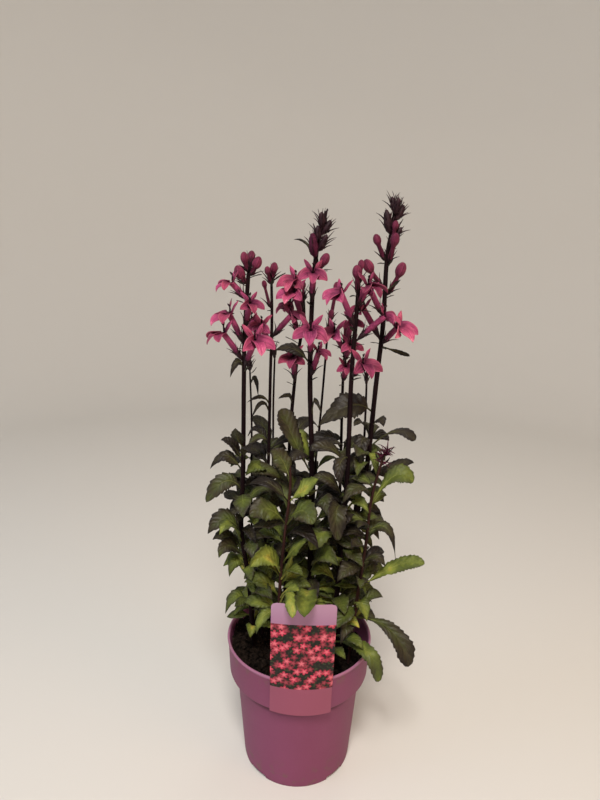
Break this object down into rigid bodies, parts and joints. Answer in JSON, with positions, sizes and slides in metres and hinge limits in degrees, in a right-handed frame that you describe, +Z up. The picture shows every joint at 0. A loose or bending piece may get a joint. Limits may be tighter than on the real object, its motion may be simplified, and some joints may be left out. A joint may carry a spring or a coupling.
{
  "type": "potted cardinal flower",
  "caption": "Dark-stemmed bog plant with spikes of deep pink flowers over dense toothed leaves, in a round plastic pot of soil with a card label.",
  "frame": {"origin": "centre of the pot's foot, on the surface that the pot stands on", "axes": "+Z up along the pot's axis, -Y towards the label and the viewer, +X to the viewer's right"},
  "size_m": [0.2096, 0.1861, 0.573],
  "materials": {
    "pot_plastic": "satin",
    "potting_soil": "matte",
    "label_card": null,
    "stem_skin": "satin",
    "leaf_blades": "satin",
    "petals": "matte"
  },
  "bodies": {
    "root": {"flower_01": "petals", "flower_02": "petals", "flower_03": "petals", "flower_04": "petals", "flower_05": "petals", "flower_06": "petals", "flower_07": "petals", "flower_08": "petals", "flower_09": "petals", "flower_10": "petals", "flower_11": "petals", "flower_12": "petals", "flower_13": "petals", "flower_14": "petals", "flower_15": "petals", "flower_16": "petals", "flower_17": "petals", "flower_18": "petals", "flower_19": "petals", "flower_20": "petals", "flower_21": "petals", "flower_22": "petals", "flower_23": "petals", "flower_24": "petals", "flower_25": "petals", "flower_26": "petals", "leaf_01": "leaf_blades", "leaf_02": "leaf_blades", "leaf_03": "leaf_blades", "leaf_04": "leaf_blades", "leaf_05": "leaf_blades", "leaf_06": "leaf_blades", "leaf_07": "leaf_blades", "leaf_08": "leaf_blades", "leaf_09": "leaf_blades", "leaf_10": "leaf_blades", "leaf_11": "leaf_blades", "leaf_12": "leaf_blades", "leaf_13": "leaf_blades", "leaf_14": "leaf_blades", "leaf_15": "leaf_blades", "leaf_16": "leaf_blades", "leaf_17": "leaf_blades", "plant_label": "label_card", "pot": "pot_plastic", "potting_soil": "potting_soil", "stem_a": "stem_skin", "stem_b": "stem_skin", "stem_c": "stem_skin", "stem_d": "stem_skin", "stem_e": "stem_skin", "stem_f": "stem_skin", "stem_g": "stem_skin", "stem_h": "stem_skin", "stem_i": "stem_skin", "stem_j": "stem_skin", "stem_k": "stem_skin", "stem_l": "stem_skin", "stem_m": "stem_skin"}
  },
  "joints": []
}
